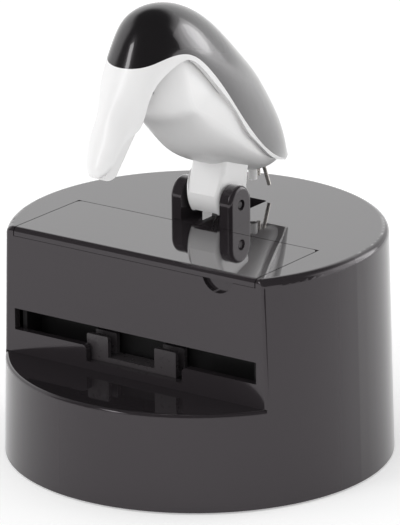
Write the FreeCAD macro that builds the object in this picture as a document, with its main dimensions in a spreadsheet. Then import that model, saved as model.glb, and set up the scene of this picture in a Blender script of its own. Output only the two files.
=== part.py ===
import FreeCAD, Part
import math
import os

import Sketcher
from FreeCAD import Placement, Rotation, Vector

# Toothpick dispenser: a round housing with a flat pick-up face, a refill lid and a bird on a hinge.
# Millimetres, +Z up. The origin is the centre of the footprint, the flat face looks along -Y and the
# hinge of the bird lies along X. Side views are drawn in Y and Z.

os.makedirs("parts", exist_ok=True)
doc = FreeCAD.newDocument("toothpick_dispenser")

# ---------------------------------------------------------------- driving sizes
SIZES = {
    # housing
    "rim_lift": 0.5, "draft": 1.5, "top_radius": 46.0, "top_level": 56.4, "top_round": 1.8,
    "wall": 2.0, "top_wall": 2.2, "front_depth": 26.5, "shelf_level": 24.6, "corner_round": 1.2,
    "shelf_round": 0.8,
    # pick-up slot in the flat face
    "slot_half": 35.6, "slot_height": 5.4, "fence_height": 5.9, "fence_round": 1.2,
    "notch_half": 14.1, "notch_rise": 2.0,
    # refill lid
    "lid_half": 35.3, "lid_length": 26.0, "lid_gap": 0.25, "seat_gap": 0.1, "lid_corner": 1.5,
    "ledge_width": 1.8, "ledge_thick": 1.6, "tongue_length": 1.9, "tongue_width": 6.0,
    "tongue_thick": 0.8, "tongue_place": 28.0, "lid_travel": 2.4, "guide_drop": 1.5, "guide_wall": 1.2,
    "scoop_place": 24.8, "scoop_radius": 4.5, "scoop_drop": 3.2, "scoop_depth": 1.2,
    # hinge lugs, pin and the opening behind them
    "lug_gap": 11.4, "lug_thick": 3.3, "lug_front": 1.1, "lug_depth": 8.8, "arch_rise": 5.3,
    "lug_round": 1.0, "pivot_rise": 5.0, "pin_radius": 1.0, "pin_inset": 0.35, "pin_recess": 0.6,
    "pin_bevel": 0.2, "fit_gap": 0.02, "running_gap": 0.06, "opening_half": 3.0,
    "opening_front": 11.0, "opening_rear": 24.9, "opening_round": 0.8,
    # base plate, screws and feet
    "plate_thick": 2.2, "plate_gap": 0.15, "boss_radius": 3.6, "boss_height": 14.0,
    "boss_circle": 41.0, "screw_radius": 1.25, "screw_length": 9.0, "head_radius": 2.4,
    "head_height": 1.3, "foot_height": 0.9, "foot_radius": 5.0, "foot_seat": 0.4, "foot_circle": 33.0,
    # hopper for the picks, and the rest that holds the foremost one
    "hopper_half": 34.8, "hopper_wall": 1.2, "hopper_slope": 0.6, "trough_rise": 1.8,
    "trough_depth": 5.8, "step_height": 6.2, "hopper_front_gap": 0.2, "hopper_top_gap": 0.4,
    "hopper_rear": 0.8, "ear_thick": 2.0, "post_radius": 3.0, "post_place": 20.0,
    "post_behind": 7.0, "post_drop": 8.0, "rest_left": -12.45, "rest_right": 7.55, "rest_width": 6.3,
    "rest_plate": 1.3, "rest_height": 6.4, "rest_tab": 1.2, "pick_gap": 2.4, "tab_round": 0.4,
    # leg of the bird
    "leg_gap": 0.8, "leg_wall": 1.5, "leg_setback": 0.6, "leg_depth": 12.5, "sole_gap": 2.1,
    "toe_setback": 1.7, "toe_bend": 9.0, "knee_rise": 5.0, "shin_lean": 3.6,
    "leg_rise": 15.0, "leg_round": 1.2, "heel_gap": 0.3, "heel_length": 1.5,
    # return spring on the hinge pin
    "wire_radius": 0.35, "coil_radius": 1.6, "coil_turns": 4.0, "coil_pitch": 0.95,
    "spring_reach": 7.0,
    # shells of the bird
    "shell_wall": 1.5, "rim_band": 0.9, "neck_band": 1.6, "belly_wall": 1.5, "belly_tuck": 2.4,
    "peak_y": -37.0, "peak_z": 40.7, "cap_side_y": -32.0, "cap_side_z": 41.9,
    "cap_high_y": -26.8, "cap_high_z": 43.1,
    "belly_over": 3.0, "peg_radius": 1.1, "peg_y": 17.6, "peg_z": 0.6, "peg_length": 5.5,
    "tail_post_radius": 2.0, "tail_screw_radius": 0.5, "tail_screw_length": 8.0,
    "tail_head_radius": 0.75, "tail_head_height": 0.6, "tail_wire_radius": 0.5,
    "tail_wire_bend": 0.62, "tail_wire_y": 20.2, "tail_wire_z": 8.0, "tail_short_y": 20.0,
    "tail_short_z": 0.9, "tail_long_y": 24.5, "tail_long_z": -2.6,
    # lower beak
    "jaw_pin_y": -27.0, "jaw_pin_z": 41.6, "jaw_pin_radius": 0.7, "jaw_pin_half": 7.0,
    "jaw_boss_radius": 1.8, "jaw_width": 6.4, "jaw_eye": 2.1, "jaw_tip_half": 1.4, "jaw_round": 0.5,
    "jaw_gap": 0.6, "jaw_lip_y": -43.7, "jaw_lip_z": 17.6, "jaw_tip_y": -43.4, "jaw_tip_z": 15.9,
    "jaw_chin_y": -38.9, "jaw_chin_z": 16.6, "jaw_notch_y": -31.3, "jaw_notch_z": 26.8,
    "jaw_neck": 2.6, "jaw_room": 0.5, "jaw_room_z": 33.5,
    "jaw_wire_radius": 0.2, "jaw_coil_radius": 1.15, "jaw_coil_turns": 3.0, "jaw_coil_pitch": 0.5,
    "jaw_arm": 3.0,
}

# Cross-sections of the bird. Each is a half ellipse that rises from an edge: the place of the edge's
# middle in the side view, how far the section leans forward in degrees, its half width and its rise.
FIELDS = ("y", "z", "lean", "half", "rise")
BACK = {
    "beak_tip": (-45.4, 17.2, 90, 1.6, 1.3), "beak_hook": (-44.9, 18.3, 82, 2.7, 2.0),
    "beak_low": (-43.4, 20.0, 74, 3.8, 2.9), "beak_high": (-38.5, 26.0, 55, 5.2, 4.7),
    "cheek": (-35.1, 28.5, 52, 6.0, 6.5), "face": (-33.7, 33.5, 50, 6.9, 5.1),
    "brow": (-30.1, 38.2, 36, 7.9, 6.5), "crown": (-22.5, 41.5, 19, 9.7, 11.5),
    "nape": (-15.3, 36.6, -8, 10.5, 15.2), "shoulder": (-8.3, 29.6, -28, 10.5, 16.3),
    "upper_back": (-0.8, 21.3, -42, 10.0, 17.0), "lower_back": (6.5, 14.4, -50, 8.9, 16.2),
    "rump": (13.8, 9.1, -56, 7.4, 13.3), "tail": (20.5, 5.7, -62, 5.6, 8.7),
    "tail_end": (26.8, 3.6, -68, 3.2, 4.0),
}
# The belly's sections fall as far below the edge as their rise, and go up further inside the back.
BELLY = {
    "neck": (-22.0, 44.1, -88, 9.6, 9.5), "throat": (-20.5, 33.1, -80, 9.3, 7.7),
    "bib": (-17.0, 27.6, -68, 9.5, 7.2), "breast": (-12.5, 25.1, -55, 9.4, 8.0),
    "chest": (-6.0, 20.8, -46, 9.4, 9.2), "waist": (1.0, 16.1, -40, 8.6, 7.6),
    "seat": (8.5, 11.5, -32, 7.4, 5.6), "vent": (15.5, 8.2, -24, 5.8, 4.7),
    "under_tail": (22.0, 5.9, -16, 4.0, 2.9), "under_tip": (26.1, 4.8, -10, 1.9, 1.3),
}
for place, figures in (BACK | BELLY).items():
    for field, figure in zip(FIELDS, figures):
        SIZES[f"{place}_{field}"] = figure

dims = doc.addObject("Spreadsheet::Sheet", "dims")
for row, (alias, figure) in enumerate(SIZES.items(), start=1):
    dims.set(f"A{row}", alias)
    dims.set(f"B{row}", str(figure))
    dims.setAlias(f"B{row}", alias)
doc.recompute()


class Size:
    """A length that knows both its number and the spreadsheet expression that it comes from."""

    def __init__(self, number, text):
        self.number = number
        self.text = text

    def __add__(self, other):
        return Size(self.number + float(other), f"({self.text} + {text_of(other)})")

    def __sub__(self, other):
        return Size(self.number - float(other), f"({self.text} - {text_of(other)})")

    def __mul__(self, other):
        return Size(self.number * float(other), f"({self.text} * {text_of(other)})")

    def __truediv__(self, other):
        return Size(self.number / float(other), f"({self.text} / {text_of(other)})")

    def __neg__(self):
        return Size(-self.number, f"(-1 * {self.text})")

    def __float__(self):
        return float(self.number)


def text_of(length):
    return length.text if isinstance(length, Size) else repr(float(length))


def size(alias):
    return Size(float(dims.get(alias)), f"dims.{alias}")


def bind(thing, name, length):
    """Ties a property to the spreadsheet when its length comes from there."""
    if isinstance(length, Size):
        thing.setExpression(name, length.text)


# ---------------------------------------------------------------- places worked out from the sizes
wall = size("wall")
top = size("top_level")
front = -size("front_depth")
base_radius = size("top_radius") + size("draft")
inner_radius = size("top_radius") - wall
skin = top - size("top_wall")
shelf_under = size("shelf_level") - wall
fence_top = size("shelf_level") + size("fence_height")
trough_floor = size("shelf_level") + size("trough_rise")
plate_level = size("foot_height")
plate_top = plate_level + size("plate_thick")
lid_half = size("lid_half")
lid_rear = front + size("lid_length")
opening_half = lid_half + size("lid_gap")
opening_rear = lid_rear + size("lid_gap")
ledge_half = opening_half - size("ledge_width")
ledge_rear = opening_rear - size("ledge_width")
ledge_level = skin - size("ledge_thick")
lid_seat = skin + size("seat_gap")
pivot_y = size("lug_front") + size("lug_depth") / 2
pivot_z = top + size("pivot_rise")
lug_inner = size("lug_gap") / 2
lug_outer = lug_inner + size("lug_thick")
leg_half = lug_inner - size("leg_gap")
leg_front = size("lug_front") + size("leg_setback")
leg_rear = leg_front + size("leg_depth")
leg_sole = top + size("sole_gap")
leg_top = leg_sole + size("leg_rise")
post_y = size("hopper_rear") + size("post_behind")
post_end = skin - size("post_drop")
hopper_front = front + wall + size("hopper_front_gap")
trough_rear = hopper_front + size("trough_depth")


# ---------------------------------------------------------------- sketch and feature helpers
def new_body(label):
    body = doc.addObject("PartDesign::Body", label)
    body.Label = label
    return body


def sketch(body, name, role, offset=0.0):
    """A sketch on one of the body's own origin planes, moved along the plane's normal by offset."""
    drawing = body.newObject("Sketcher::SketchObject", name)
    plane = next(feature for feature in body.Origin.OriginFeatures if feature.Role == role)
    drawing.AttachmentSupport = [(plane, "")]
    drawing.MapMode = "FlatFace"
    drawing.AttachmentOffset = Placement(Vector(0, 0, float(offset)), Rotation())
    bind(drawing, "AttachmentOffset.Base.z", offset)
    return drawing


def hold(drawing, kind, *where):
    """Adds a dimension, whose last argument is the length, and ties it to the spreadsheet."""
    *elements, length = where
    index = drawing.addConstraint(Sketcher.Constraint(kind, *elements, float(length)))
    bind(drawing, f"Constraints[{index}]", length)


def end_at(drawing, edge, place):
    """Which end of an edge lies at a place: 1 for its start, 2 for its end."""
    return 1 if drawing.getPoint(edge, 1).distanceToPoint(place) < 1e-6 else 2


def outline(drawing, corners):
    """A closed outline. A corner is (x, y), or (x, y, radius) where an arc to the left leads to it.

    A negative radius is an arc that bulges the other way.
    """
    ends = [Vector(float(corner[0]), float(corner[1]), 0) for corner in corners]
    edges = []
    for k, corner in enumerate(corners):
        start, end = ends[k - 1], ends[k]
        edge = Part.LineSegment(start, end)
        if len(corner) > 2:
            radius = float(corner[2])
            chord = end - start
            across = Vector(-chord.y, chord.x, 0).normalize() * math.copysign(1, radius)
            reach = math.sqrt(max(radius**2 - (chord.Length / 2) ** 2, 0))
            crest = (start + end) / 2 + across * (reach - abs(radius))
            edge = Part.Arc(start, crest, end)
        edges.append(drawing.addGeometry(edge, False))
    for k, corner in enumerate(corners):
        edge, following = edges[k], edges[(k + 1) % len(edges)]
        tip = end_at(drawing, edge, ends[k])
        join = end_at(drawing, following, ends[k])
        drawing.addConstraint(Sketcher.Constraint("Coincident", edge, tip, following, join))
        hold(drawing, "DistanceX", -1, 1, edge, tip, corner[0])
        hold(drawing, "DistanceY", -1, 1, edge, tip, corner[1])
        if len(corner) > 2:
            positive = corner[2] if float(corner[2]) > 0 else -corner[2]
            hold(drawing, "Radius", edge, positive)


def rectangle(drawing, x_low, x_high, y_low, y_high):
    outline(drawing, [(x_low, y_low), (x_high, y_low), (x_high, y_high), (x_low, y_high)])


def circle(drawing, x, y, radius):
    ring = Part.Circle(Vector(float(x), float(y), 0), Vector(0, 0, 1), float(radius))
    edge = drawing.addGeometry(ring, False)
    hold(drawing, "DistanceX", -1, 1, edge, 3, x)
    hold(drawing, "DistanceY", -1, 1, edge, 3, y)
    hold(drawing, "Radius", edge, radius)


def feature(body, kind, name, drawing, **settings):
    """A PartDesign feature made from a sketch. It has to add or to remove material."""
    before = body.Shape.Volume if body.Tip else 0.0
    item = body.newObject(f"PartDesign::{kind}", name)
    item.Profile = drawing
    for setting, figure in settings.items():
        setattr(item, setting, float(figure) if isinstance(figure, Size) else figure)
        bind(item, setting, figure)
    body.Tip = item
    doc.recompute()
    change = body.Shape.Volume - before
    if abs(change) < 1e-6 or (change > 0) != (kind in ("Pad", "Revolution")):
        raise RuntimeError(f"{body.Label} {name} changed the volume by {change:.3f} mm3")
    return item


def pad(body, name, drawing, length, **settings):
    return feature(body, "Pad", name, drawing, Length=length, **settings)


def pocket(body, name, drawing, length, **settings):
    return feature(body, "Pocket", name, drawing, Length=length, **settings)


def around(body, name, originals, count):
    """Repeats features round the body's Z axis."""
    pattern = body.newObject("PartDesign::PolarPattern", name)
    pattern.Originals = originals
    axis = next(feature for feature in body.Origin.OriginFeatures if feature.Role == "Z_Axis")
    pattern.Axis = (axis, [""])
    pattern.Angle = 360
    pattern.Occurrences = count
    body.Tip = pattern
    doc.recompute()
    return pattern


def rounded(body, name, radius, wanted, kind="Fillet"):
    """Rounds or bevels the edges of the body for which wanted(edge) is true."""
    base = body.Tip
    names = [f"Edge{k + 1}" for k, edge in enumerate(base.Shape.Edges) if wanted(edge)]
    item = body.newObject(f"PartDesign::{kind}", name)
    item.Base = (base, names)
    setting = "Radius" if kind == "Fillet" else "Size"
    setattr(item, setting, float(radius))
    bind(item, setting, radius)
    body.Tip = item
    doc.recompute()
    if item.Shape.isNull():
        raise RuntimeError(f"{body.Label} {name} could not be made")
    return item


def near(figure, length, slack=0.02):
    return abs(figure - float(length)) < slack


def is_upright(edge):
    box = edge.BoundBox
    return box.ZLength > 0.3 and box.XLength < 0.01 and box.YLength < 0.01


def keep(label, shape):
    """A sub-part whose shape is worked out by Part's own functions."""
    item = doc.addObject("Part::Feature", label)
    item.Label = label
    item.Shape = shape
    item.Placement = Placement()
    return item


# ---------------------------------------------------------------- housing
def make_housing():
    body = new_body("housing_shell")
    drum(body)
    cavities(body)
    lid_opening(body)
    pickup_slot(body)
    hinge_lugs(body)
    rear_opening(body)
    screw_posts(body)
    return body


def drum(body):
    """The tapered outside with its rounded top edge, and the flat face above the shelf."""
    lift, bend = size("rim_lift"), size("top_round")
    drawing = sketch(body, "drum_profile", "XZ_Plane")
    outline(drawing, [
        (0.0, lift), (base_radius, lift), (size("top_radius"), top - bend),
        (size("top_radius") - bend, top, bend), (0.0, top),
    ])
    feature(body, "Revolution", "drum", drawing, ReferenceAxis=(drawing, ["V_Axis"]), Angle=360)
    drawing = sketch(body, "flat_front_outline", "XY_Plane", size("shelf_level"))
    reach = base_radius + 1
    rectangle(drawing, -reach, reach, -reach, front)
    pocket(body, "flat_front", drawing, top, Reversed=True)

    def is_front_corner(edge):
        box = edge.BoundBox
        return box.ZLength > 20 and near(edge.CenterOfMass.y, front, 0.5) and (
            box.XLength < box.ZLength / 2)

    rounded(body, "front_corners", size("corner_round"), is_front_corner)
    taper = size("draft") / (top - bend - lift)
    shelf, round_off = size("shelf_level"), size("shelf_round")
    rim = base_radius - taper * (shelf - lift)
    drawing = sketch(body, "shelf_edge_profile", "YZ_Plane")
    outline(drawing, [
        (-rim - 1, shelf - round_off), (-rim, shelf - round_off), (-rim + round_off, shelf, -round_off),
        (-rim + round_off, shelf + 0.2), (-rim - 1, shelf + 0.2),
    ])
    swing = 2 * math.degrees(math.acos(-float(front) / float(rim)))
    swing = Size(swing, f"2 * acos({(-front).text} / {rim.text})")
    feature(body, "Groove", "shelf_edge", drawing, ReferenceAxis=(drawing, ["V_Axis"]), Angle=swing,
            Midplane=True)


def cavities(body):
    """The hollow under the shelf, and the hollow behind the flat face."""
    lift = size("rim_lift")
    drawing = sketch(body, "lower_cavity_outline", "XY_Plane", lift)
    circle(drawing, 0.0, 0.0, inner_radius)
    pocket(body, "lower_cavity", drawing, shelf_under - lift, Reversed=True)
    chord = front + wall
    end_x = math.sqrt(float(inner_radius) ** 2 - float(chord) ** 2)
    left, right = Vector(-end_x, float(chord), 0), Vector(end_x, float(chord), 0)
    drawing = sketch(body, "upper_cavity_outline", "XY_Plane", shelf_under)
    arc = drawing.addGeometry(Part.Arc(right, Vector(0, float(inner_radius), 0), left), False)
    line = drawing.addGeometry(Part.LineSegment(left, right), False)
    drawing.addConstraint(Sketcher.Constraint("Coincident", arc, 2, line, 1))
    drawing.addConstraint(Sketcher.Constraint("Coincident", line, 2, arc, 1))
    drawing.addConstraint(Sketcher.Constraint("Coincident", arc, 3, -1, 1))
    drawing.addConstraint(Sketcher.Constraint("Horizontal", line))
    hold(drawing, "Radius", arc, inner_radius)
    hold(drawing, "DistanceY", -1, 1, line, 1, chord)
    pocket(body, "upper_cavity", drawing, skin - shelf_under, Reversed=True)


def lid_opening(body):
    """The opening for the lid, the ledge it lies on and the sockets for its rear tongues."""
    drawing = sketch(body, "lid_opening_outline", "XY_Plane", top)
    rectangle(drawing, -opening_half, opening_half, front - 2, opening_rear)
    pocket(body, "lid_opening", drawing, size("top_wall"))
    drawing = sketch(body, "ledge_outline", "XY_Plane", skin)
    root = wall / 2
    outline(drawing, [
        (-opening_half - root, front + root), (-ledge_half, front + root), (-ledge_half, ledge_rear),
        (ledge_half, ledge_rear), (ledge_half, front + root), (opening_half + root, front + root),
        (opening_half + root, opening_rear + root), (-opening_half - root, opening_rear + root),
    ])
    pad(body, "ledge", drawing, size("ledge_thick"), Reversed=True)
    for side, centre in (("left", -size("tongue_place")), ("right", size("tongue_place"))):
        drawing = sketch(body, f"{side}_socket_outline", "XY_Plane", skin)
        half = size("tongue_width") / 2 + size("lid_gap")
        rectangle(drawing, centre - half, centre + half, opening_rear - size("seat_gap"),
                  lid_rear + size("tongue_length") + size("lid_gap"))
        pocket(body, f"{side}_socket", drawing, size("tongue_thick") + size("seat_gap") * 3,
               Reversed=True)
    drawing = sketch(body, "scoop_outline", "XZ_Plane", -front)
    circle(drawing, size("scoop_place"), skin - size("scoop_drop") + size("scoop_radius"),
           size("scoop_radius"))
    pocket(body, "scoop", drawing, size("scoop_depth"))


def pickup_slot(body):
    """The long slot and, in its fence, the notch that the beak reaches into."""
    slot, notch, bend = size("slot_half"), size("notch_half"), size("fence_round")
    low, rise = size("shelf_level") + size("notch_rise"), fence_top
    high = fence_top + size("slot_height")
    drawing = sketch(body, "slot_outline", "XZ_Plane", -front + 1)
    outline(drawing, [
        (-notch, low), (notch, low), (notch, rise - bend), (notch + bend, rise, -bend), (slot, rise),
        (slot, high), (-slot, high), (-slot, rise), (-notch - bend, rise), (-notch, rise - bend, -bend),
    ])
    pocket(body, "slot", drawing, wall + 1.5)


def hinge_lugs(body):
    """Two arched lugs that carry the hinge pin."""
    low, high = size("lug_front"), size("lug_front") + size("lug_depth")
    spring_line, bend = top + size("arch_rise"), size("lug_depth") / 2
    for side, start in (("left", -lug_outer), ("right", lug_inner)):
        drawing = sketch(body, f"{side}_lug_outline", "YZ_Plane", start)
        outline(drawing, [
            (low, skin + 0.5), (high, skin + 0.5), (high, spring_line),
            (pivot_y, spring_line + bend, bend), (low, spring_line, bend),
        ])
        pad(body, f"{side}_lug", drawing, size("lug_thick"))

    def is_outer_lug_edge(edge):
        box = edge.BoundBox
        flat = box.XLength < 0.01 and near(abs(box.XMin), lug_outer)
        return flat and box.ZMax > float(top) + 1

    rounded(body, "lug_edges", size("lug_round"), is_outer_lug_edge)
    drawing = sketch(body, "pin_bore_outline", "YZ_Plane")
    circle(drawing, pivot_y, pivot_z, size("pin_radius") + size("fit_gap"))
    pocket(body, "pin_bore", drawing, lug_outer * 2 + 2, Midplane=True)
    for side, start, backwards in (("left", -lug_outer, True), ("right", lug_outer, False)):
        drawing = sketch(body, f"{side}_recess_outline", "YZ_Plane", start)
        circle(drawing, pivot_y, pivot_z, size("pin_radius") * 1.35)
        pocket(body, f"{side}_recess", drawing, size("pin_recess"), Reversed=backwards)


def rear_opening(body):
    """The opening behind the lugs, where the arm of the return spring goes in."""
    drawing = sketch(body, "rear_opening_outline", "XY_Plane", top)
    rectangle(drawing, -size("opening_half"), size("opening_half"), size("opening_front"),
              size("opening_rear"))
    pocket(body, "rear_opening", drawing, size("top_wall"))

    def is_opening_corner(edge):
        middle = edge.CenterOfMass
        return is_upright(edge) and near(abs(middle.x), size("opening_half")) and (
            middle.z > float(skin) and middle.y > float(size("opening_front")) - 0.1)

    rounded(body, "opening_corners", size("opening_round"), is_opening_corner)


def screw_posts(body):
    """Four bosses for the base plate round the rim, and two posts under the top for the hopper."""
    drawing = sketch(body, "boss_outline", "XY_Plane", plate_top)
    reach = size("boss_circle") * math.sqrt(0.5)
    circle(drawing, reach, reach, size("boss_radius"))
    boss = pad(body, "boss", drawing, size("boss_height") - plate_top)
    drawing = sketch(body, "boss_bore_outline", "XY_Plane", plate_top)
    circle(drawing, reach, reach, size("screw_radius") + size("fit_gap"))
    bore = pocket(body, "boss_bore", drawing, size("screw_length"), Reversed=True)
    around(body, "bosses", [boss, bore], 4)
    for side, centre in (("left", -size("post_place")), ("right", size("post_place"))):
        drawing = sketch(body, f"{side}_post_outline", "XY_Plane", skin)
        circle(drawing, centre, post_y, size("post_radius"))
        pad(body, f"{side}_post", drawing, size("post_drop"), Reversed=True)
        drawing = sketch(body, f"{side}_post_bore_outline", "XY_Plane", post_end)
        circle(drawing, centre, post_y, size("screw_radius") + size("fit_gap"))
        pocket(body, f"{side}_post_bore", drawing, size("screw_length") - size("ear_thick") + 0.3,
               Reversed=True)


# ---------------------------------------------------------------- base plate, feet and screws
def make_base_plate():
    body = new_body("base_plate")
    drawing = sketch(body, "disc_outline", "XY_Plane", plate_level)
    circle(drawing, 0.0, 0.0, inner_radius - size("plate_gap"))
    pad(body, "disc", drawing, size("plate_thick"))
    reach = size("boss_circle") * math.sqrt(0.5)
    drawing = sketch(body, "screw_hole_outline", "XY_Plane", plate_level)
    circle(drawing, reach, reach, size("screw_radius") + size("running_gap"))
    hole = pocket(body, "screw_hole", drawing, size("plate_thick"), Reversed=True)
    drawing = sketch(body, "head_seat_outline", "XY_Plane", plate_level)
    circle(drawing, reach, reach, size("head_radius") + size("running_gap"))
    seat = pocket(body, "head_seat", drawing, size("head_height"), Reversed=True)
    around(body, "screw_holes", [hole, seat], 4)
    drawing = sketch(body, "foot_seat_outline", "XY_Plane", plate_level)
    circle(drawing, size("foot_circle"), 0.0, size("foot_radius") + size("running_gap"))
    recess = pocket(body, "foot_recess", drawing, size("foot_seat"), Reversed=True)
    around(body, "foot_recesses", [recess], 4)
    return body


def screw(x, y, seat_z, head, rise, shank, length):
    """A pan-head screw that points up, with its head under seat_z and a cross recess in the head."""
    under = Vector(x, y, seat_z - rise)
    body = Part.makeCylinder(head, rise, under)
    edge = [e for e in body.Edges if near(e.BoundBox.ZMax, under.z) and near(e.BoundBox.ZMin, under.z)]
    body = body.makeChamfer(rise * 0.3, edge)
    body = body.fuse(Part.makeCylinder(shank, length, Vector(x, y, seat_z)))
    arm, width = head * 0.55, head * 0.18
    for long, short in ((arm, width), (width, arm)):
        slot = Part.makeBox(long * 2, short * 2, rise * 0.45, Vector(x - long, y - short, under.z))
        body = body.cut(slot)
    return body.removeSplitter()


def make_screws():
    figures = [float(size(name)) for name in ("head_radius", "head_height", "screw_radius",
                                              "screw_length")]
    seat = float(plate_level + size("head_height"))
    reach = float(size("boss_circle"))
    ring = []
    for quarter in range(4):
        angle = math.radians(45 + 90 * quarter)
        ring.append(screw(reach * math.cos(angle), reach * math.sin(angle), seat, *figures))
    keep("base_screws", Part.makeCompound(ring))
    seat, place = float(post_end - size("ear_thick")), float(size("post_place"))
    pair = [screw(side * place, float(post_y), seat, *figures) for side in (-1, 1)]
    keep("hopper_screws", Part.makeCompound(pair))
    figures = [float(size(name)) for name in ("tail_head_radius", "tail_head_height",
                                              "tail_screw_radius", "tail_screw_length")]
    seat = float(spot("peg")[1] + size("tail_head_height") * 1.5)
    keep("tail_screw", screw(0.0, float(spot("peg")[0]), seat, *figures))


def make_feet():
    height = float(size("foot_height") + size("foot_seat"))
    pads = []
    for quarter in range(4):
        angle = math.radians(90 * quarter)
        reach = float(size("foot_circle"))
        spot = Vector(reach * math.cos(angle), reach * math.sin(angle), 0)
        disc = Part.makeCylinder(float(size("foot_radius")), height, spot)
        lower = [e for e in disc.Edges if near(e.BoundBox.ZMax, 0)]
        pads.append(disc.makeChamfer(0.3, lower))
    keep("foot_pads", Part.makeCompound(pads))


# ---------------------------------------------------------------- hopper and pick rest
def make_hopper():
    """A folded tray: a trough behind the slot, a step, a slope up to the rear, and two cheeks."""
    body = new_body("hopper")
    skin_wall, slope = size("hopper_wall"), size("hopper_slope")
    floor, step = trough_floor, trough_floor + size("step_height")
    rear, high = size("hopper_rear"), ledge_level - size("hopper_top_gap")
    slant = math.sqrt(1 + float(slope) ** 2)
    slant = Size(slant, f"sqrt(1 + {slope.text} ^ 2)")
    inner_rear = rear - skin_wall
    inner_high = step + (inner_rear - trough_rear) * slope
    below = skin_wall * slope - skin_wall * slant
    drawing = sketch(body, "tray_side", "YZ_Plane")
    outline(drawing, [
        (hopper_front, floor - skin_wall), (trough_rear + skin_wall, floor - skin_wall),
        (trough_rear + skin_wall, step + below), (rear, inner_high + below), (rear, high),
        (hopper_front, high),
    ])
    pad(body, "tray", drawing, size("hopper_half") * 2, Midplane=True)
    drawing = sketch(body, "tray_inside", "YZ_Plane")
    outline(drawing, [
        (hopper_front - 1, floor), (trough_rear, floor), (trough_rear, step), (inner_rear, inner_high),
        (inner_rear, high + 1), (hopper_front - 1, high + 1),
    ])
    pocket(body, "tray_hollow", drawing, (size("hopper_half") - skin_wall) * 2, Midplane=True)
    for side, centre in (("left", -size("post_place")), ("right", size("post_place"))):
        half = size("post_radius")
        drawing = sketch(body, f"{side}_ear_outline", "XY_Plane", post_end)
        outline(drawing, [
            (centre - half, inner_rear + skin_wall / 2), (centre + half, inner_rear + skin_wall / 2),
            (centre + half, post_y), (centre, post_y + half, half), (centre - half, post_y, half),
        ])
        pad(body, f"{side}_ear", drawing, size("ear_thick"), Reversed=True)
        drawing = sketch(body, f"{side}_ear_hole_outline", "XY_Plane", post_end)
        circle(drawing, centre, post_y, size("screw_radius") + size("running_gap"))
        pocket(body, f"{side}_ear_hole", drawing, size("ear_thick"))
    return body


def make_pick_rest():
    """Two forks on a strip: each has a front and a rear tab with a pick's width between them."""
    body = new_body("pick_rest")
    half = size("rest_width") / 2
    start = hopper_front + size("seat_gap")
    tab, gap = size("rest_tab"), size("pick_gap")
    floor = trough_floor
    drawing = sketch(body, "strip_outline", "XY_Plane", floor)
    rectangle(drawing, size("rest_left") - half, size("rest_right") + half, start,
              start + tab * 2 + gap)
    pad(body, "strip", drawing, size("rest_plate"))
    bend = size("tab_round")
    for row, place in (("front", start), ("rear", start + tab + gap)):
        for side, centre in (("left", size("rest_left")), ("right", size("rest_right"))):
            drawing = sketch(body, f"{row}_{side}_tab_outline", "XZ_Plane", -place)
            low = floor + size("rest_plate") / 2
            high = floor + size("rest_height")
            outline(drawing, [
                (centre - half, low), (centre + half, low), (centre + half, high - bend),
                (centre + half - bend, high, bend), (centre - half + bend, high),
                (centre - half, high - bend, bend),
            ])
            pad(body, f"{row}_{side}_tab", drawing, tab, Reversed=True)
    return body


# ---------------------------------------------------------------- refill lid
def make_lid():
    """A flat cover that lies on the ledge. Rear tongues hold it down until it is pulled forward."""
    body = new_body("lid")
    drawing = sketch(body, "plate_outline", "XY_Plane", lid_seat)
    rectangle(drawing, -lid_half, lid_half, front, lid_rear)
    pad(body, "plate", drawing, top - lid_seat)
    half, rear = ledge_half - size("lid_gap"), ledge_rear - size("lid_gap")
    start, guide = front + wall + size("lid_travel") + size("lid_gap"), size("guide_wall")
    drawing = sketch(body, "guide_outline", "XY_Plane", lid_seat)
    rectangle(drawing, -half, half, start, rear)
    pad(body, "guide", drawing, size("guide_drop"), Reversed=True)
    drawing = sketch(body, "guide_inside", "XY_Plane", lid_seat)
    rectangle(drawing, -half + guide, half - guide, start + guide, rear - guide)
    pocket(body, "guide_hollow", drawing, size("guide_drop"))
    for side, centre in (("left", -size("tongue_place")), ("right", size("tongue_place"))):
        drawing = sketch(body, f"{side}_tongue_outline", "XY_Plane", lid_seat)
        reach = size("tongue_width") / 2
        rectangle(drawing, centre - reach, centre + reach, lid_rear - 1,
                  lid_rear + size("tongue_length"))
        pad(body, f"{side}_tongue", drawing, size("tongue_thick"))

    def is_rear_corner(edge):
        middle = edge.CenterOfMass
        return is_upright(edge) and near(abs(middle.x), lid_half) and near(middle.y, lid_rear)

    def is_front_top(edge):
        middle = edge.CenterOfMass
        return near(middle.y, front) and near(middle.z, top) and edge.Length > 20

    rounded(body, "rear_corners", size("lid_corner"), is_rear_corner)
    rounded(body, "front_edge", size("corner_round"), is_front_top)
    return body


# ---------------------------------------------------------------- hinge pins and springs
def make_pin(label, radius, half, y, z):
    body = new_body(label)
    drawing = sketch(body, f"{label}_outline", "YZ_Plane")
    circle(drawing, y, z, radius)
    pad(body, f"{label}_rod", drawing, half * 2, Midplane=True)
    rounded(body, f"{label}_ends", size("pin_bevel"), lambda edge: edge.BoundBox.XLength < 0.01,
            "Chamfer")
    return body


def across(centre, first, second, radius):
    """An eight-sided outline across a piece of wire, spanned by two directions."""
    turns = [math.pi / 8 + math.pi / 4 * corner for corner in range(8)]
    corners = [centre + (first * math.cos(turn) + second * math.sin(turn)) * radius for turn in turns]
    return Part.Wire(Part.makePolygon(corners + corners[:1]))


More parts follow.
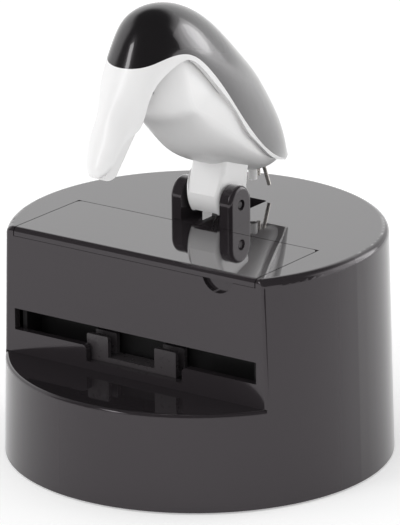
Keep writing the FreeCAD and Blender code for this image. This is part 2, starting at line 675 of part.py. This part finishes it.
def torsion_spring(centre, wire, radius, pitch, turns, arms):
    """A coil round the X axis at centre, between two straight arms.

    Each arm is (angle, length): where it leaves the coil, seen along -X, and how far it goes. The
    first arm arrives turning left and the second leaves the same way.
    """
    (first, first_length), (second, second_length) = arms
    sweep = turns + ((second - first) / 360) % 1 - 1
    path = Part.makeHelix(pitch, pitch * sweep, radius)
    ring = across(Vector(radius, 0, 0), Vector(1, 0, 0), Vector(0, 0, 1), wire)
    coil = Part.Wire(path.Edges).makePipeShell([ring], True, True)
    coil.rotate(Vector(), Vector(0, 1, 0), 90)
    coil.rotate(Vector(), Vector(1, 0, 0), first + 90)
    coil.translate(centre - Vector(pitch * sweep / 2, 0, 0))
    pieces = [coil]
    for angle, length, side, sense in ((first, first_length, -1, -1), (second, second_length, 1, 1)):
        turn = math.radians(angle)
        start = centre + Vector(side * pitch * sweep / 2, radius * math.cos(turn),
                                radius * math.sin(turn))
        along = Vector(0, -math.sin(turn), math.cos(turn)) * sense
        aside = along.cross(Vector(1, 0, 0))
        ring = across(start - along * wire, Vector(1, 0, 0), aside, wire * 1.03)
        pieces.append(Part.Face(ring).extrude(along * (length + wire)))
    return pieces[0].fuse(pieces[1:]).removeSplitter()


def tangent_angle(centre, target, radius, side):
    """Where a line from target touches a circle round centre, as seen along -X, in degrees."""
    aim = target - centre
    distance = math.hypot(aim.y, aim.z)
    return math.degrees(math.atan2(aim.z, aim.y)) + side * math.degrees(math.acos(radius / distance))


def make_return_spring():
    """Wound on the hinge pin: one arm bears on the rear opening, the other on the back of the leg."""
    centre = Vector(0, float(pivot_y), float(pivot_z))
    wire, radius = float(size("wire_radius")), float(size("coil_radius"))
    edge = Vector(0, float(size("opening_front")) + 2 * wire, float(top))
    back = Vector(0, float(leg_rear - size("leg_wall")) - 1.5 * wire,
                  float(pivot_z + size("spring_reach")))
    lower = tangent_angle(centre, edge, radius, 1)
    upper = tangent_angle(centre, back, radius, -1)
    down = (edge - centre).Length + float(size("spring_reach")) * 0.5
    rise = math.sqrt((back - centre).Length ** 2 - radius**2)
    keep("return_spring", torsion_spring(centre, wire, radius, float(size("coil_pitch")),
                                         float(size("coil_turns")), ((lower, down), (upper, rise))))


# ---------------------------------------------------------------- bird
def spot(name):
    """A place in the side view that is measured from the bird's pivot."""
    return pivot_y + size(f"{name}_y"), pivot_z + size(f"{name}_z")


def station(place):
    """A cross-section's figures as numbers, with its place in the side view worked out."""
    lean, half, rise = (float(size(f"{place}_{field}")) for field in FIELDS[2:])
    y, z = spot(place)
    return float(y), float(z), lean, half, rise


def arch(place, inset=0.0, sense=1, depth=1.0):
    """Half an ellipse over a station's edge, or under it where sense is -1."""
    y, z, lean, half, rise = station(place)
    lean = math.radians(lean)
    middle, outward = Vector(0, y, z), Vector(0, -math.sin(lean), math.cos(lean))
    side = Vector(half - inset, 0, 0)
    up = outward * sense * (rise - inset) * depth
    if side.Length < up.Length:
        whole = Part.Ellipse(middle + up, middle - side, middle)
        return Part.ArcOfEllipse(whole, -math.pi / 2, math.pi / 2).toShape()
    whole = Part.Ellipse(middle + side, middle + up, middle)
    return Part.ArcOfEllipse(whole, 0, math.pi).toShape()


def loft(places, inset=0.0, under=None, over=1.0):
    """A solid through the stations. under and over scale the halves; without under that one is flat."""
    rings = []
    for place in places:
        upper = arch(place, inset, 1, over)
        ends = upper.Vertexes[-1].Point, upper.Vertexes[0].Point
        lower = Part.LineSegment(*ends).toShape() if under is None else arch(place, inset, -1, under)
        rings.append(Part.Wire(Part.__sortEdges__([upper, lower])))
    return Part.makeLoft(rings, True, False)


def side_plate(points, others):
    """Everything on one side of a smooth line in the side view. others close the outline."""
    curve = Part.BSplineCurve()
    curve.interpolate([Vector(-30, y, z) for y, z in points])
    corners = [Vector(-30, *points[-1])] + [Vector(-30, y, z) for y, z in others]
    corners.append(Vector(-30, *points[0]))
    edges = [curve.toShape()] + [Part.LineSegment(a, b).toShape() for a, b in zip(corners, corners[1:])]
    return Part.Face(Part.Wire(edges)).extrude(Vector(60, 0, 0))


def offset_edge(places, lifts):
    """Points a little outward of the stations' edges, along the way each section rises."""
    points = []
    for place, lift in zip(places, lifts):
        y, z, lean, _, _ = station(place)
        lean = math.radians(lean)
        points.append((y - lift * math.sin(lean), z + lift * math.cos(lean)))
    return points


def make_back():
    """The moulded back: one hollow shell, split along the cap's lower edge into cap and head."""
    places = list(BACK)
    hollow = loft(places[5:14], float(size("shell_wall")), 0.6)
    outside = loft(places)
    shell = outside.cut(hollow)
    band, neck = float(size("rim_band")), float(size("neck_band"))
    low_edge = offset_edge(places[7:], [neck, neck, neck * 0.7] + [band] * 5)
    hairline = [tuple(float(figure) for figure in spot(name))
                for name in ("peak", "cap_side", "cap_high")]
    line = hairline + low_edge
    far = 60
    past = (line[-1][0] + far * 0.2, line[-1][1] - far * 0.05)
    above = side_plate(line, [past, (far, 140), (-far, 140), (-far, line[0][1])])
    post, bore = tail_post(outside)
    return shell.common(above).fuse(post).cut(bore), shell.cut(above).cut(post), outside


def tail_post(outside):
    """The post inside the tail that the tail screw goes into, and the bore for the screw."""
    y, seat = float(spot("peg")[0]), float(spot("peg")[1] + size("peg_length"))
    post = Part.makeCylinder(float(size("tail_post_radius")), 40, Vector(0, y, seat)).common(outside)
    bore = float(size("tail_screw_radius") + size("fit_gap"))
    return post, Part.makeCylinder(bore, float(size("tail_screw_length")), Vector(0, y, seat))


def jaw_bosses(head, cap, outside):
    """Blind bosses inside the cheeks, which carry the pin of the lower beak."""
    y, z = (float(figure) for figure in spot("jaw_pin"))
    axis = Vector(1, 0, 0)
    radius, reach = float(size("jaw_boss_radius")), float(size("jaw_pin_half"))
    eye = float(size("jaw_width")) / 2
    coil = float(size("jaw_coil_pitch") * (size("jaw_coil_turns") + 1))
    left = Part.makeCylinder(radius, 20, Vector(-eye - 0.3 - 20, y, z), axis)
    right = Part.makeCylinder(radius, 20, Vector(eye + coil, y, z), axis)
    head = head.fuse([side.common(outside).cut(cap) for side in (left, right)])
    bore = float(size("jaw_pin_radius") + size("fit_gap"))
    return head.cut(Part.makeCylinder(bore, reach * 2 + 0.4, Vector(-reach - 0.2, y, z), axis))


def leg_inside(low):
    """The side view of the leg's hollow, from the height low up to the belly."""
    skin_wall, high = size("leg_wall"), leg_top - size("leg_wall")
    return [
        (leg_front + skin_wall, low), (leg_rear - skin_wall, low), (leg_rear - skin_wall, high),
        (leg_front + size("shin_lean") + skin_wall, high),
        (leg_front + skin_wall, leg_sole + size("knee_rise")),
    ]


def make_leg():
    """The leg: a block between the lugs with a heel that rests on the housing, hollow for the spring."""
    body = new_body("leg_blank")
    skin_wall, toe, knee = size("leg_wall"), leg_front + size("toe_setback"), leg_sole + size("knee_rise")
    heel, heel_front = top + size("heel_gap"), leg_rear - size("heel_length")
    drawing = sketch(body, "leg_side", "YZ_Plane")
    outline(drawing, [
        (toe, leg_sole, size("toe_bend")), (heel_front, leg_sole), (heel_front, heel), (leg_rear, heel),
        (leg_rear, knee), (leg_rear + skin_wall, leg_top), (leg_front + size("shin_lean"), leg_top),
        (leg_front, knee),
    ])
    pad(body, "leg_block", drawing, leg_half * 2, Midplane=True)

    def is_long_side_edge(edge):
        box, middle = edge.BoundBox, edge.CenterOfMass
        return near(abs(middle.x), leg_half) and box.ZLength > 2.5 and box.XLength < 0.01

    rounded(body, "leg_edges", size("leg_round"), is_long_side_edge)
    drawing = sketch(body, "leg_hollow_side", "YZ_Plane")
    outline(drawing, leg_inside(heel - 1))
    pocket(body, "leg_hollow", drawing, (leg_half - skin_wall) * 2, Midplane=True)
    drawing = sketch(body, "leg_bore_outline", "YZ_Plane")
    circle(drawing, pivot_y, pivot_z, size("pin_radius") + size("running_gap"))
    pocket(body, "leg_bore", drawing, leg_half * 2 + 1, Midplane=True)
    return body


def bent_wire(corners, bend, radius):
    """A wire in the plane X = 0 whose corners are rounded to the bend radius."""
    spots = [Vector(0, float(y), float(z)) for y, z in corners]
    edges, start = [], spots[0]
    for before, corner, after in zip(spots, spots[1:], spots[2:]):
        back, ahead = (before - corner).normalize(), (after - corner).normalize()
        half = back.getAngle(ahead) / 2
        run, lift = bend / math.tan(half), bend / math.sin(half) - bend
        middle = corner + (back + ahead).normalize() * lift
        edges.append(Part.LineSegment(start, corner + back * run).toShape())
        start = corner + ahead * run
        edges.append(Part.Arc(corner + back * run, middle, start).toShape())
    edges.append(Part.LineSegment(start, spots[-1]).toShape())
    ring = Part.Wire(Part.makeCircle(radius, spots[0], spots[1] - spots[0]))
    return Part.Wire(edges).makePipeShell([ring], True, False)


def tail_wire(clearance=0.0):
    """A stiff wire bent to a narrow V, moulded into the underside of the tail."""
    corners = [spot(name) for name in ("tail_short", "tail_wire", "tail_long")]
    bend, radius = float(size("tail_wire_bend")), float(size("tail_wire_radius"))
    return bent_wire(corners, bend, radius + clearance)


def make_belly(back, leg):
    """The moulded belly: a hollow form tucked into the back, fused with the leg and the tail peg."""
    places, over = list(BELLY), float(size("belly_over"))
    form = loft(places, 0.0, 1.0, over)
    hollow = loft(places[1:8], float(size("belly_wall")), 1.0, over)
    line = offset_edge(list(BACK)[6:], [float(size("belly_tuck"))] * 9)
    start, end = line[0], line[-1]
    above = side_plate(line, [(end[0] + 10, end[1]), (60, 140), (-60, 140), (-60, start[1])])
    half = float(leg_half - size("leg_wall"))
    corners = [Vector(-half, float(y), float(z)) for y, z in leg_inside(top)]
    room = Part.Face(Part.makePolygon(corners + corners[:1])).extrude(Vector(half * 2, 0, 0))
    peg_y, peg_z = (float(figure) for figure in spot("peg"))
    peg = Part.makeCylinder(float(size("peg_radius")), float(size("peg_length")),
                            Vector(0, peg_y, peg_z))
    belly = form.cut(hollow).cut(above).cut(room).fuse([leg.Shape, peg])
    for piece in back:
        belly = belly.cut(piece)
    gap = float(size("running_gap"))
    head_seat = float(size("tail_head_height")) * 1.5
    cuts = [
        Part.makeCylinder(float(size("tail_screw_radius")) + gap, 12, Vector(0, peg_y, peg_z - 1)),
        Part.makeCylinder(float(size("tail_head_radius")) + gap, head_seat + 1,
                          Vector(0, peg_y, peg_z - 1)),
        tail_wire(float(size("fit_gap")) * 2), jaw_room(),
    ]
    for cut in cuts:
        belly = belly.cut(cut)
    return max(belly.Solids, key=lambda solid: solid.Volume)


# ---------------------------------------------------------------- lower beak
def jaw_room():
    """The slot in the throat that the lower beak, its opening swing and its spring take up."""
    (pin_y, pin_z), clear = (float(figure) for figure in spot("jaw_pin")), float(size("jaw_room"))
    reach, back_y = float(size("jaw_width")) / 2 + clear, pin_y + float(size("jaw_eye")) + clear * 2
    low = float(pivot_z + size("jaw_room_z"))
    slot = Part.makeBox(reach * 2, 20, 40, Vector(-reach, back_y - 20, low))
    coil = float(size("jaw_coil_pitch") * (size("jaw_coil_turns") + 1))
    beside = pin_z - float(size("jaw_arm")) - clear
    return slot.fuse(Part.makeBox(reach + coil, 20, 40, Vector(0, back_y - 20, beside)))


FRONT_LINE = "face", "cheek", "beak_high", "beak_low"


def make_jaw():
    """The lower beak: a blade behind the upper one, with an eye for its pin and a narrow tip."""
    body = new_body("lower_beak")
    (pin_y, pin_z), eye, gap = spot("jaw_pin"), size("jaw_eye"), size("jaw_gap")
    tip, chin, notch, lip = (spot(f"jaw_{name}") for name in ("tip", "chin", "notch", "lip"))
    face_z = spot("face")[1]
    front_line = [(y + gap, z - gap) for y, z in map(spot, FRONT_LINE)]
    drawing = sketch(body, "beak_side", "YZ_Plane")
    outline(drawing, [
        tip, (*chin, 5.0), notch, (pin_y - size("jaw_neck"), face_z), (pin_y + eye, pin_z),
        (pin_y, pin_z + eye, eye), (pin_y - eye, pin_z, eye), *front_line, lip,
    ])
    pad(body, "beak_block", drawing, size("jaw_width"), Midplane=True)
    half, narrow, low = size("jaw_width") / 2, size("jaw_tip_half"), tip[1] - 1
    drawing = sketch(body, "beak_taper", "XZ_Plane")
    for side in (-1, 1):
        outline(drawing, [(half * side, face_z), (narrow * side, low), ((half + 2) * side, low)])
    pocket(body, "beak_sides", drawing, 100.0, Midplane=True)

    def is_rear_edge(edge):
        middle = edge.CenterOfMass
        return abs(middle.x) > 0.5 and edge.BoundBox.ZLength > 4 and (
            near(middle.y, (chin[0] + notch[0]) / 2, 1.0))

    rounded(body, "beak_edges", size("jaw_round"), is_rear_edge)
    drawing = sketch(body, "eye_outline", "YZ_Plane")
    circle(drawing, pin_y, pin_z, size("jaw_pin_radius") + size("running_gap"))
    pocket(body, "eye", drawing, size("jaw_width") + 1, Midplane=True)
    return body


def make_jaw_spring():
    """A small coil on the pin beside the lower beak's eye."""
    coil = float(size("jaw_coil_pitch") * (size("jaw_coil_turns") + 1))
    pin_y, pin_z = (float(figure) for figure in spot("jaw_pin"))
    centre, arm = Vector(float(size("jaw_width")) / 2 + coil / 2, pin_y, pin_z), float(size("jaw_arm"))
    arms = ((-70, arm), (75, arm))
    keep("jaw_spring", torsion_spring(centre, float(size("jaw_wire_radius")),
                                      float(size("jaw_coil_radius")), float(size("jaw_coil_pitch")),
                                      float(size("jaw_coil_turns")), arms))


def make_bird():
    cap, head, outside = make_back()
    room = tail_wire(float(size("fit_gap")) * 2)
    cap, head = cap.cut(room), jaw_bosses(head.cut(room), cap, outside)
    leg = make_leg()
    keep("back_cap", cap)
    keep("head_shell", head)
    keep("belly", make_belly((cap, head), leg))
    keep("tail_wire", tail_wire())
    make_pin("jaw_pin", size("jaw_pin_radius"), size("jaw_pin_half"), *spot("jaw_pin"))
    make_jaw()
    make_jaw_spring()


# ---------------------------------------------------------------- build, check and write
make_housing()
make_base_plate()
make_feet()
make_hopper()
make_pick_rest()
make_lid()
make_pin("hinge_pin", size("pin_radius"), lug_outer - size("pin_inset"), pivot_y, pivot_z)
make_return_spring()
make_screws()
make_bird()
doc.recompute()

NODES = [
    "housing_shell", "base_plate", "base_screws", "foot_pads", "hopper", "hopper_screws", "pick_rest",
    "lid", "hinge_pin", "return_spring", "back_cap", "head_shell", "belly", "tail_screw", "tail_wire",
    "lower_beak", "jaw_pin", "jaw_spring",
]
failed = [item.Label for item in doc.Objects if {"Invalid", "Error"} & set(item.State)]
if failed:
    raise RuntimeError(f"these objects did not compute: {failed}")
subparts = {label: doc.getObjectsByLabel(label)[0] for label in NODES}
for label, item in subparts.items():
    if item.Shape.isNull() or not item.Shape.isValid():
        raise RuntimeError(f"{label} has no valid shape")
for label, item in subparts.items():
    item.Shape.exportStep(f"parts/{label}.step")
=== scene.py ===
"""Looks of the toothpick dispenser: finishes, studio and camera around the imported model. Metres."""
import math

import bpy
from mathutils import Matrix, Quaternion, Vector


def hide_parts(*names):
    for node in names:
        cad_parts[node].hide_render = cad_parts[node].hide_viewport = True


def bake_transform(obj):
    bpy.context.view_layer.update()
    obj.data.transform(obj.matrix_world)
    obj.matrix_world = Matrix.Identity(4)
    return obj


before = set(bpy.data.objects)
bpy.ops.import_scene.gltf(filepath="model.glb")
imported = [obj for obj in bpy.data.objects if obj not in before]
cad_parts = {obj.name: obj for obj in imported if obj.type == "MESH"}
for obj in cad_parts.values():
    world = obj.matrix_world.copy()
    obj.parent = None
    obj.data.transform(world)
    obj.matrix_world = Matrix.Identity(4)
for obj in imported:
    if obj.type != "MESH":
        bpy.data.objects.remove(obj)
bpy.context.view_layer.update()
scene = bpy.context.scene
scene.view_settings.view_transform = "Standard"

# Angles are in degrees. An azimuth goes round the object from its flat front (-Y) towards +X.
TARGET = Vector((0, 0, 0.05))    # what the camera and the lamps point at
WHITE = (1, 1, 1, 1)

AZIMUTH = 35.907                 # the camera's place
ELEVATION = 18.18
ROLL = -0.592
DISTANCE = 1.14418
AIM_RIGHT = 0.000508             # the frame's middle lies this far right of the target
AIM_DOWN = 0.00306               # and this far below it
LENS = 326.03                    # millimetres
SENSOR = 36                      # millimetres, along the frame's long side
CLIP_NEAR = 0.05
CLIP_FAR = 20

NOISE_MIDDLE = (0.35, 0.65)      # where most of a noise's values lie
UPRIGHT_TO_LEVEL = (0.75, 0.99)  # a face's normal, upward part: upright below this range, level above it

LAMP_DISTANCE = 1.2              # from the target to every lamp
TENT_FRONT = -40                 # azimuth where the tent is brightest
ROOM_BACK = -153                 # azimuth of the middle of the white wall that gloss sees
ROOM_DARK = 0.08
ROOM_WHITE = 0.92
FLOOR_HALF = 3.0                 # half the side of the square floor
FLOOR_COLOR = (0.9, 0.9, 0.9)
FLOOR_ROUGHNESS = 0.9
FLOOR_GLOW = 0.35                # lifts the floor to white where it is seen


def direction(azimuth, elevation):
    """The unit vector from the object toward a compass direction."""
    turn, lift = math.radians(azimuth), math.radians(elevation)
    return Vector((math.sin(turn) * math.cos(lift), -math.cos(turn) * math.cos(lift), math.sin(lift)))


def add_object(name, data):
    made = bpy.data.objects.new(name, data)
    scene.collection.objects.link(made)
    return made


# ---------------------------------------------------------------- camera
def make_camera():
    roll = math.radians(ROLL)
    back = direction(AZIMUTH, ELEVATION)
    level = Vector((0, 0, 1)).cross(back).normalized()
    upright = back.cross(level)
    right = level * math.cos(roll) + upright * math.sin(roll)
    up = upright * math.cos(roll) - level * math.sin(roll)
    aim = TARGET + right * AIM_RIGHT - up * AIM_DOWN
    data = bpy.data.cameras.new("camera")
    data.lens = LENS
    data.sensor_width = SENSOR
    data.clip_start = CLIP_NEAR
    data.clip_end = CLIP_FAR
    camera = add_object("camera", data)
    turn = Matrix((right, up, back)).transposed().to_4x4()
    camera.matrix_world = Matrix.Translation(aim + back * DISTANCE) @ turn
    scene.camera = camera


# ---------------------------------------------------------------- materials
def material(name, color, **settings):
    """A Principled material. Settings are its socket names in plain words, such as coat_weight."""
    made = bpy.data.materials.new(name)
    made.use_nodes = True
    nodes, links = made.node_tree.nodes, made.node_tree.links
    shader = nodes["Principled BSDF"]
    shader.inputs["Base Color"].default_value = (*color, 1)
    for setting, value in settings.items():
        socket = setting.replace("_", " ").title().replace("Ior", "IOR")
        shader.inputs[socket].default_value = value
    return made, nodes, links, shader


def noise(nodes, links, scale, detail, roughness):
    place = nodes.new("ShaderNodeTexCoord")
    texture = nodes.new("ShaderNodeTexNoise")
    texture.inputs["Scale"].default_value = scale
    texture.inputs["Detail"].default_value = detail
    texture.inputs["Roughness"].default_value = roughness
    links.new(place.outputs["Object"], texture.inputs["Vector"])
    return texture.outputs["Fac"]


def ramp(nodes, links, source, span, result, kind="SMOOTHSTEP"):
    """Takes a value from one range to another. Outside the first it stays at the ends of the second."""
    step = nodes.new("ShaderNodeMapRange")
    step.interpolation_type = kind
    step.inputs["From Min"].default_value = span[0]
    step.inputs["From Max"].default_value = span[1]
    step.inputs["To Min"].default_value = result[0]
    step.inputs["To Max"].default_value = result[1]
    links.new(source, step.inputs["Value"])
    return step.outputs["Result"]


def bump(nodes, links, height, strength, distance, shader):
    lift = nodes.new("ShaderNodeBump")
    lift.inputs["Strength"].default_value = strength
    lift.inputs["Distance"].default_value = distance
    links.new(height, lift.inputs["Height"])
    links.new(lift.outputs["Normal"], shader.inputs["Normal"])


def grained(name, color, roughness, grain, relief=None, **settings):
    """A material whose roughness wanders between two values.

    grain is the noise's scale, detail and roughness. relief is the strength and depth of its bumps.
    """
    made, nodes, links, shader = material(name, color, **settings)
    texture = noise(nodes, links, *grain)
    links.new(ramp(nodes, links, texture, NOISE_MIDDLE, roughness, "LINEAR"), shader.inputs["Roughness"])
    if relief:
        bump(nodes, links, texture, *relief, shader)
    return made


def black_housing():
    """Moulded black plastic: satin on upright faces, polished with a clear coat on level ones."""
    made, nodes, links, shader = material("black_plastic", (0.023, 0.0198, 0.0220), coat_roughness=0.03,
                                          specular_tint=(1.0, 0.93, 0.98, 1.0))
    surface = nodes.new("ShaderNodeNewGeometry")
    split = nodes.new("ShaderNodeSeparateXYZ")
    links.new(surface.outputs["True Normal"], split.inputs["Vector"])
    up = split.outputs["Z"]
    for socket, result in (("Roughness", (0.11, 0.04)), ("Coat Weight", (0.1, 0.75))):
        links.new(ramp(nodes, links, up, UPRIGHT_TO_LEVEL, result), shader.inputs[socket])
    grain = noise(nodes, links, scale=900, detail=3, roughness=0.6)
    bump(nodes, links, grain, strength=0.012, distance=0.00002, shader=shader)
    return made


def finish_nodes():
    housing = black_housing()
    steel = grained("steel", (0.72, 0.69, 0.65), roughness=(0.14, 0.30), grain=(3000, 2, 0.5),
                    metallic=0.7)
    white = grained("white_gloss", (0.87, 0.865, 0.865), roughness=(0.28, 0.34), grain=(35, 1, 0.4),
                    coat_weight=0.2, coat_roughness=0.15)
    inner = grained("matt_black", (0.006, 0.0055, 0.006), roughness=(0.42, 0.6), grain=(1500, 3, 0.6),
                    relief=(0.15, 0.00003), specular_ior_level=0.3)
    satin = grained("satin_black", (0.046, 0.041, 0.044), roughness=(0.26, 0.36), grain=(700, 2, 0.5))
    dark = grained("dark_metal", (0.05, 0.047, 0.05), roughness=(0.32, 0.48), grain=(2500, 2, 0.5),
                   metallic=0.6)
    rubber = grained("rubber", (0.03, 0.03, 0.03), roughness=(0.7, 0.9), grain=(1800, 4, 0.7),
                     relief=(0.3, 0.00004))
    gloss = grained("black_gloss", (0.006, 0.0052, 0.0058), roughness=(0.17, 0.24), grain=(60, 3, 0.55),
                    coat_weight=0.9, coat_roughness=0.05, specular_tint=(1.0, 0.95, 1.0, 1.0))
    finishes = {
        "housing_shell": housing, "lid": housing, "base_plate": inner, "hopper": inner,
        "pick_rest": satin, "hinge_pin": dark, "foot_pads": rubber, "back_cap": gloss,
        "head_shell": white, "belly": white, "lower_beak": white,
    }
    for name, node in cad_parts.items():
        node.data.materials.clear()
        node.data.materials.append(finishes.get(name, steel))


# ---------------------------------------------------------------- return spring
def wind_spring():
    """On the object the return spring's lower arm stays on the housing and its upper arm turns with the
    bird, so it winds up along its coil. Here a copy of the finished solid stands in for it unchanged,
    and the imported one is hidden."""
    spring = add_object("wound_spring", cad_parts["return_spring"].data.copy())
    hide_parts("return_spring")
    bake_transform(spring)


# ---------------------------------------------------------------- studio
def combine(nodes, links, operation, first, second):
    """Two values taken together, by "MAXIMUM" or "MULTIPLY"."""
    both = nodes.new("ShaderNodeMath")
    both.operation = operation
    links.new(first, both.inputs[0])
    links.new(second, both.inputs[1])
    return both.outputs["Value"]


def ray_kind(nodes, links, *kinds):
    """1 for rays of these kinds and 0 for others. A kind is an output's name, such as Is Camera Ray."""
    path = nodes.new("ShaderNodeLightPath")
    socket = path.outputs[kinds[0]]
    for kind in kinds[1:]:
        socket = combine(nodes, links, "MAXIMUM", socket, path.outputs[kind])
    return socket


def mix_shaders(nodes, links, factor, first, second):
    mix = nodes.new("ShaderNodeMixShader")
    links.new(factor, mix.inputs["Fac"])
    links.new(first, mix.inputs[1])
    links.new(second, mix.inputs[2])
    return mix.outputs["Shader"]


def toward(nodes, links, azimuth):
    """How far a world direction leans toward a compass direction, from -1 to 1."""
    place = nodes.new("ShaderNodeTexCoord")
    lean = nodes.new("ShaderNodeVectorMath")
    lean.operation = "DOT_PRODUCT"
    lean.inputs[1].default_value = direction(azimuth, 0)
    links.new(place.outputs["Generated"], lean.inputs[0])
    return lean.outputs["Value"]


def upward(nodes, links):
    """The upward part of a world direction, from -1 to 1."""
    place = nodes.new("ShaderNodeTexCoord")
    split = nodes.new("ShaderNodeSeparateXYZ")
    links.new(place.outputs["Generated"], split.inputs["Vector"])
    return split.outputs["Z"]


def make_world():
    """A tent, brighter round its foot and at the front left. Gloss shows its white back and a dark
    room before it and over it."""
    world = bpy.data.worlds.new("studio")
    scene.world = world
    world.use_nodes = True
    nodes, links = world.node_tree.nodes, world.node_tree.links
    tent = nodes["Background"]
    tent.inputs["Color"].default_value = WHITE
    foot = ramp(nodes, links, upward(nodes, links), span=(0.1, 0.9), result=(1.3, 0.55))
    side = ramp(nodes, links, toward(nodes, links, TENT_FRONT), span=(-0.6, 0.8), result=(0.70, 1.2))
    links.new(combine(nodes, links, "MULTIPLY", foot, side), tent.inputs["Strength"])
    room = nodes.new("ShaderNodeBackground")
    room.inputs["Color"].default_value = WHITE
    wall = ramp(nodes, links, toward(nodes, links, ROOM_BACK), span=(-0.15, 0.12), result=(0.0, 1.0))
    low = ramp(nodes, links, upward(nodes, links), span=(0.5, 0.85), result=(1.0, 0.0))
    bright_part = combine(nodes, links, "MULTIPLY", wall, low)
    shown = ramp(nodes, links, bright_part, span=(0.0, 1.0), result=(ROOM_DARK, ROOM_WHITE))
    links.new(shown, room.inputs["Strength"])
    lit = mix_shaders(nodes, links, ray_kind(nodes, links, "Is Glossy Ray"), tent.outputs["Background"],
                      room.outputs["Background"])
    white = nodes.new("ShaderNodeBackground")
    white.inputs["Color"].default_value = WHITE
    seen = ray_kind(nodes, links, "Is Camera Ray", "Is Transmission Ray")
    result = mix_shaders(nodes, links, seen, lit, white.outputs["Background"])
    links.new(result, nodes["World Output"].inputs["Surface"])


def make_floor():
    """A pale floor that is white where it is seen, and keeps the object's shadow."""
    corners = [(x * FLOOR_HALF, y * FLOOR_HALF, 0) for x, y in ((-1, -1), (1, -1), (1, 1), (-1, 1))]
    mesh = bpy.data.meshes.new("floor")
    mesh.from_pydata(corners, [], [(0, 1, 2, 3)])
    floor = add_object("floor", mesh)
    made, nodes, links, shader = material("pale_floor", FLOOR_COLOR, roughness=FLOOR_ROUGHNESS)
    glow = nodes.new("ShaderNodeEmission")
    glow.inputs["Strength"].default_value = FLOOR_GLOW
    bright = nodes.new("ShaderNodeAddShader")
    links.new(shader.outputs["BSDF"], bright.inputs[0])
    links.new(glow.outputs["Emission"], bright.inputs[1])
    seen = ray_kind(nodes, links, "Is Camera Ray", "Is Glossy Ray", "Is Transmission Ray")
    result = mix_shaders(nodes, links, seen, shader.outputs["BSDF"], bright.outputs["Shader"])
    links.new(result, nodes["Material Output"].inputs["Surface"])
    mesh.materials.append(made)


def softbox(name, azimuth, elevation, width, length, shape, power, tilt=0):
    """A soft lamp at a compass direction from the object, tilted about its own line of sight."""
    way = direction(azimuth, elevation)
    data = bpy.data.lights.new(name, "AREA")
    data.shape = shape
    data.size = width
    data.size_y = length
    data.energy = power
    lamp = add_object(name, data)
    lamp.location = TARGET + way * LAMP_DISTANCE
    facing = (-way).to_track_quat("-Z", "Y")
    lamp.rotation_mode = "QUATERNION"
    lamp.rotation_quaternion = facing @ Quaternion((0, 0, 1), math.radians(tilt))


def make_lamps():
    """A strip at the front left, and four overlapping lamps at the right rear."""
    # name, azimuth, elevation, width, length, shape, watts
    softbox("strip_box", -19, 30, 0.18, 0.62, "RECTANGLE", 1.9, tilt=32)
    softbox("rear_box", 139, 17, 1.28, 0.85, "RECTANGLE", 2.8)
    softbox("rear_core", 146, 16, 1.00, 0.80, "ELLIPSE", 1.2)
    softbox("rear_heart", 151, 14, 0.55, 0.75, "ELLIPSE", 0.9)
    softbox("rear_spark", 156, 14, 0.30, 0.62, "ELLIPSE", 0.46)


make_camera()
finish_nodes()
wind_spring()
make_world()
make_floor()
make_lamps()
